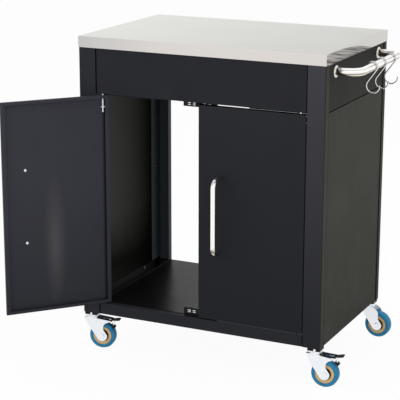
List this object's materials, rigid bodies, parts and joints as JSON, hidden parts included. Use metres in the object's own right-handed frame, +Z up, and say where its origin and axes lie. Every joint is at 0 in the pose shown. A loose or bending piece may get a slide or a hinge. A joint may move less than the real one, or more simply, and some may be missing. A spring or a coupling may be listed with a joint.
{
  "type": "grill cart",
  "caption": "Wheeled grill cart: folded steel worktop over a cabinet with hinged doors on sprung pins, open back, side handle with hooks, and braked swivel casters.",
  "frame": {"origin": "middle of the bottom of the whole part's box, on the floor under the wheels", "axes": "+Z up, doors towards -Y, side handle towards +X"},
  "size_m": [0.943, 0.7026, 0.912],
  "materials": {
    "stainless_sheet": "brushed",
    "galvanised_sheet": "matte",
    "black_powder_coat": "satin",
    "door_coat": "satin",
    "shelf_coat": "gloss",
    "black_screw": "satin",
    "lever_paint": "satin",
    "black_plastic": "matte",
    "zinc_plate": "bright",
    "stainless_tube": "polished",
    "chrome_wire": "polished",
    "blue_tread": "satin",
    "beige_plastic": "gloss"
  },
  "bodies": {
    "cart": {"worktop": "stainless_sheet", "worktop_stiffeners": "galvanised_sheet", "front_left_post": "black_powder_coat", "front_right_post": "black_powder_coat", "rear_left_post": "black_powder_coat", "rear_right_post": "black_powder_coat", "front_apron": "black_powder_coat", "rear_apron": "black_powder_coat", "left_apron": "black_powder_coat", "right_apron": "black_powder_coat", "left_side_panel": "black_powder_coat", "right_side_panel": "black_powder_coat", "front_bottom_rail": "black_powder_coat", "rear_bottom_rail": "black_powder_coat", "side_bottom_rails": "black_powder_coat", "bottom_shelf": "shelf_coat", "lower_catch": "black_plastic", "upper_catch": "black_plastic", "catch_plates": "zinc_plate", "corner_plates": "black_powder_coat", "caster_sockets": "black_plastic", "caster_stems": "zinc_plate", "side_handle": "stainless_tube", "handle_rosettes": "stainless_tube", "handle_bolts": "zinc_plate", "frame_screws": "black_screw"},
    "left_door": {"left_door_pan": "door_coat", "left_door_handle": "stainless_tube", "left_handle_screws": "zinc_plate", "left_hinge_fittings": "zinc_plate", "left_pin_spring": "zinc_plate"},
    "left_pin": {"left_upper_pin": "zinc_plate"},
    "right_door": {"right_door_pan": "door_coat", "right_door_handle": "stainless_tube", "right_handle_screws": "zinc_plate", "right_hinge_fittings": "zinc_plate", "right_pin_spring": "zinc_plate"},
    "right_pin": {"right_upper_pin": "zinc_plate"},
    "front_left_fork_body": {"front_left_fork": "zinc_plate", "front_left_axle": "zinc_plate"},
    "front_left_wheel": {"front_left_tyre": "blue_tread", "front_left_hub": "beige_plastic"},
    "front_left_brake": {"front_left_brake_lever": "lever_paint"},
    "front_right_fork_body": {"front_right_fork": "zinc_plate", "front_right_axle": "zinc_plate"},
    "front_right_wheel": {"front_right_tyre": "blue_tread", "front_right_hub": "beige_plastic"},
    "front_right_brake": {"front_right_brake_lever": "lever_paint"},
    "rear_left_fork_body": {"rear_left_fork": "zinc_plate", "rear_left_axle": "zinc_plate"},
    "rear_left_wheel": {"rear_left_tyre": "blue_tread", "rear_left_hub": "beige_plastic"},
    "rear_right_fork_body": {"rear_right_fork": "zinc_plate", "rear_right_axle": "zinc_plate"},
    "rear_right_wheel": {"rear_right_tyre": "blue_tread", "rear_right_hub": "beige_plastic"},
    "hanging_hook_1": {"hook_1": "chrome_wire"},
    "hanging_hook_2": {"hook_2": "chrome_wire"},
    "hanging_hook_3": {"hook_3": "chrome_wire"}
  },
  "joints": [
    {"name": "left_door_hinge", "type": "hinge", "parent": "cart", "child": "left_door", "pos_m": [-0.27263, -0.12815, 0.45], "axis": [0, 0, 1], "range_deg": [-3.5, 131.5]},
    {"name": "right_door_hinge", "type": "hinge", "parent": "cart", "child": "right_door", "pos_m": [0.31737, -0.12815, 0.45], "axis": [0, 0, 1], "range_deg": [0, 135]},
    {"name": "left_pin_slide", "type": "slide", "parent": "left_door", "child": "left_pin", "axis": [0, 0, -1], "range_m": [0, 0.008], "stiffness_N_per_m": 500, "deforming": ["left_pin_spring"]},
    {"name": "right_pin_slide", "type": "slide", "parent": "right_door", "child": "right_pin", "axis": [0, 0, -1], "range_m": [0, 0.008], "stiffness_N_per_m": 500, "deforming": ["right_pin_spring"]},
    {"name": "front_left_swivel", "type": "hinge", "parent": "cart", "child": "front_left_fork_body", "pos_m": [-0.32263, -0.11415, 0.095], "axis": [0, 0, 1], "continuous": true},
    {"name": "front_left_wheel_spin", "type": "hinge", "parent": "front_left_fork_body", "child": "front_left_wheel", "pos_m": [-0.29383, -0.10776, 0.0385], "axis": [-0.2164, 0.9763, 0], "continuous": true},
    {"name": "front_left_brake", "type": "hinge", "parent": "front_left_fork_body", "child": "front_left_brake", "pos_m": [-0.30701, -0.11069, 0.084], "axis": [-0.2164, 0.9763, 0], "range_deg": [-5, 1.5]},
    {"name": "front_right_swivel", "type": "hinge", "parent": "cart", "child": "front_right_fork_body", "pos_m": [0.36737, -0.11415, 0.095], "axis": [0, 0, 1], "continuous": true},
    {"name": "front_right_wheel_spin", "type": "hinge", "parent": "front_right_fork_body", "child": "front_right_wheel", "pos_m": [0.39676, -0.11158, 0.0385], "axis": [-0.0872, 0.9962, 0], "continuous": true},
    {"name": "front_right_brake", "type": "hinge", "parent": "front_right_fork_body", "child": "front_right_brake", "pos_m": [0.38331, -0.11275, 0.084], "axis": [-0.0872, 0.9962, 0], "range_deg": [0, 6.5]},
    {"name": "rear_left_swivel", "type": "hinge", "parent": "cart", "child": "rear_left_fork_body", "pos_m": [-0.32263, 0.32785, 0.095], "axis": [0, 0, 1], "continuous": true},
    {"name": "rear_left_wheel_spin", "type": "hinge", "parent": "rear_left_fork_body", "child": "rear_left_wheel", "pos_m": [-0.2932, 0.32991, 0.0385], "axis": [-0.0698, 0.9976, 0], "continuous": true},
    {"name": "rear_right_swivel", "type": "hinge", "parent": "cart", "child": "rear_right_fork_body", "pos_m": [0.36737, 0.32785, 0.095], "axis": [0, 0, 1], "continuous": true},
    {"name": "rear_right_wheel_spin", "type": "hinge", "parent": "rear_right_fork_body", "child": "rear_right_wheel", "pos_m": [0.39686, 0.32708, 0.0385], "axis": [0.0262, 0.9997, 0], "continuous": true},
    {"name": "hook_1_swing", "type": "hinge", "parent": "cart", "child": "hanging_hook_1", "pos_m": [0.44937, 0.04885, 0.857], "axis": [0, 1, 0], "range_deg": [-60, 50]},
    {"name": "hook_2_swing", "type": "hinge", "parent": "cart", "child": "hanging_hook_2", "pos_m": [0.44937, 0.12285, 0.857], "axis": [0, 1, 0], "range_deg": [-60, 50]},
    {"name": "hook_3_swing", "type": "hinge", "parent": "cart", "child": "hanging_hook_3", "pos_m": [0.44937, 0.20285, 0.857], "axis": [0, 1, 0], "range_deg": [-60, 50]}
  ]
}
